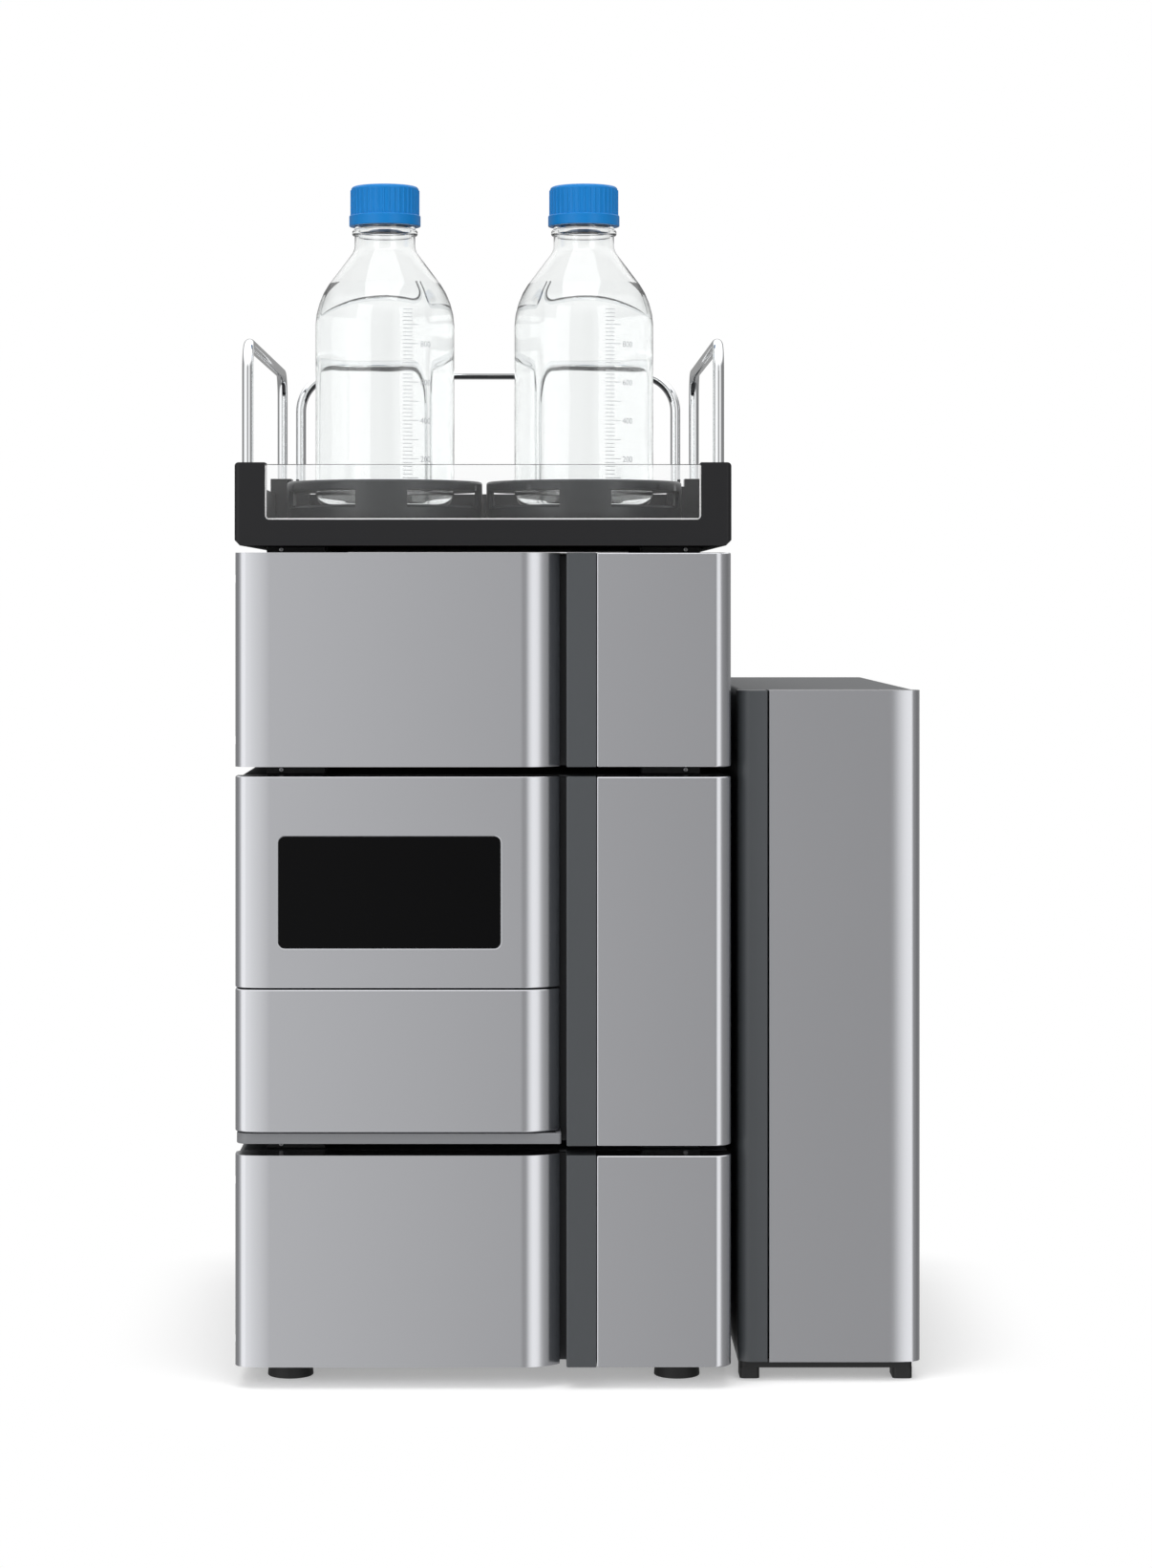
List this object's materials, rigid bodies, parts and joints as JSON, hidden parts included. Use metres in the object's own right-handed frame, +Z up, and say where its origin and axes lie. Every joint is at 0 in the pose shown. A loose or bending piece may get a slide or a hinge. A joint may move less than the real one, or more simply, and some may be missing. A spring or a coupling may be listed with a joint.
{
  "type": "hplc system",
  "caption": "Benchtop liquid chromatography stack: pump, sampler and detector modules under a bottle tray with guard rails, and a tall column oven beside them.",
  "frame": {"origin": "middle of the footprint, on the bench", "axes": "+Z up, fronts face -Y, the oven is at +X"},
  "size_m": [0.486, 0.44, 0.8569],
  "materials": {
    "silver_paint": "satin metallic",
    "charcoal_paint": "fine texture",
    "pillar_plastic": "satin",
    "black_plastic": "fine grain",
    "sill_plastic": "satin",
    "rack_plastic": "satin",
    "chrome_rod": "polished",
    "clear_acrylic": "polished",
    "bottle_glass": "clear",
    "cap_plastic": "satin moulded",
    "seal_plastic": "smooth",
    "foot_rubber": "matt",
    "screen_glass": "gloss",
    "stainless": "machined",
    "heater_aluminium": "anodised"
  },
  "bodies": {
    "stack": {"tray_frame": "black_plastic", "tray_window": "clear_acrylic", "left_guard_rail": "chrome_rod", "right_guard_rail": "chrome_rod", "rear_guard_rail": "chrome_rod", "left_bottle_holder": "black_plastic", "right_bottle_holder": "black_plastic", "left_bottle": "bottle_glass", "right_bottle": "bottle_glass", "pump_cover": "charcoal_paint", "pump_chassis": "charcoal_paint", "pump_compartment": "black_plastic", "pump_pillar": "pillar_plastic", "pump_fascia": "silver_paint", "pump_heads": "stainless", "check_valves": "stainless", "purge_valve": "stainless", "sampler_cover": "charcoal_paint", "sampler_chassis": "charcoal_paint", "drawer_compartment": "black_plastic", "sampler_panel": "silver_paint", "sampler_screen": "screen_glass", "sampler_sill": "sill_plastic", "sampler_pillar": "pillar_plastic", "sampler_fascia": "silver_paint", "detector_cover": "charcoal_paint", "detector_chassis": "charcoal_paint", "detector_compartment": "black_plastic", "detector_pillar": "pillar_plastic", "detector_fascia": "silver_paint", "flow_cell": "stainless", "lamp_housing": "charcoal_paint", "leak_trays": "black_plastic", "hinge_pins": "stainless", "module_feet": "foot_rubber", "rear_sockets": "black_plastic", "oven_cabinet": "charcoal_paint", "oven_rear_panel": "charcoal_paint", "oven_pillar": "pillar_plastic", "oven_gasket": "foot_rubber", "heater_plate": "heater_aluminium", "column": "stainless", "column_clips": "black_plastic", "oven_plinth": "black_plastic"},
    "pump_door": {"pump_door": "silver_paint"},
    "sampler_drawer": {"drawer_front": "silver_paint", "drawer_tray": "charcoal_paint", "vial_racks": "rack_plastic", "vials": "bottle_glass"},
    "detector_door": {"detector_door": "silver_paint"},
    "oven_door": {"oven_door": "silver_paint"},
    "purge_knob": {"purge_knob": "black_plastic"},
    "left_cap_seal": {"left_cap_seal": "seal_plastic"},
    "left_cap": {"left_cap": "cap_plastic"},
    "right_cap_seal": {"right_cap_seal": "seal_plastic"},
    "right_cap": {"right_cap": "cap_plastic"},
    "pump_switch": {"pump_switch": "black_plastic"},
    "sampler_switch": {"sampler_switch": "black_plastic"},
    "detector_switch": {"detector_switch": "black_plastic"},
    "oven_switch": {"oven_switch": "black_plastic"}
  },
  "joints": [
    {"name": "pump_door_hinge", "type": "hinge", "parent": "stack", "child": "pump_door", "pos_m": [-0.235, -0.202, 0.4382], "axis": [0, 0, -1], "range_deg": [0, 90]},
    {"name": "detector_door_hinge", "type": "hinge", "parent": "stack", "child": "detector_door", "pos_m": [-0.235, -0.202, 0.0158], "axis": [0, 0, -1], "range_deg": [0, 90]},
    {"name": "oven_door_hinge", "type": "hinge", "parent": "stack", "child": "oven_door", "pos_m": [0.235, -0.177, 0.0142], "axis": [0, 0, 1], "range_deg": [0, 90]},
    {"name": "sampler_drawer_slide", "type": "slide", "parent": "stack", "child": "sampler_drawer", "axis": [0, -1, 0], "range_m": [0, 0.15]},
    {"name": "purge_knob_turn", "type": "hinge", "parent": "stack", "child": "purge_knob", "pos_m": [-0.0369, -0.1412, 0.5057], "axis": [0, -1, 0], "range_deg": [0, 360]},
    {"name": "left_cap_lift", "type": "slide", "parent": "stack", "child": "left_cap_seal", "axis": [0, 0, 1], "range_m": [0, 0.00801]},
    {"name": "left_cap_turn", "type": "hinge", "parent": "left_cap_seal", "child": "left_cap", "pos_m": [-0.1405, -0.128, 0.85], "axis": [0, 0, 1], "range_deg": [0, 720]},
    {"name": "right_cap_lift", "type": "slide", "parent": "stack", "child": "right_cap_seal", "axis": [0, 0, 1], "range_m": [0, 0.00801]},
    {"name": "right_cap_turn", "type": "hinge", "parent": "right_cap_seal", "child": "right_cap", "pos_m": [0.0045, -0.128, 0.85], "axis": [0, 0, 1], "range_deg": [0, 720]},
    {"name": "pump_switch_rock", "type": "hinge", "parent": "stack", "child": "pump_switch", "pos_m": [0.073, 0.206, 0.4882], "axis": [1, 0, 0], "range_deg": [0, 14]},
    {"name": "sampler_switch_rock", "type": "hinge", "parent": "stack", "child": "sampler_switch", "pos_m": [0.073, 0.206, 0.2215], "axis": [1, 0, 0], "range_deg": [0, 14]},
    {"name": "detector_switch_rock", "type": "hinge", "parent": "stack", "child": "detector_switch", "pos_m": [0.073, 0.206, 0.0658], "axis": [1, 0, 0], "range_deg": [0, 14]},
    {"name": "oven_switch_rock", "type": "hinge", "parent": "stack", "child": "oven_switch", "pos_m": [0.213, 0.206, 0.0642], "axis": [1, 0, 0], "range_deg": [0, 14]}
  ],
  "couplings": [
    {"joint": "left_cap_lift", "follows": "left_cap_turn", "m_per_rad": 0.00063662},
    {"joint": "right_cap_lift", "follows": "right_cap_turn", "m_per_rad": 0.00063662}
  ]
}
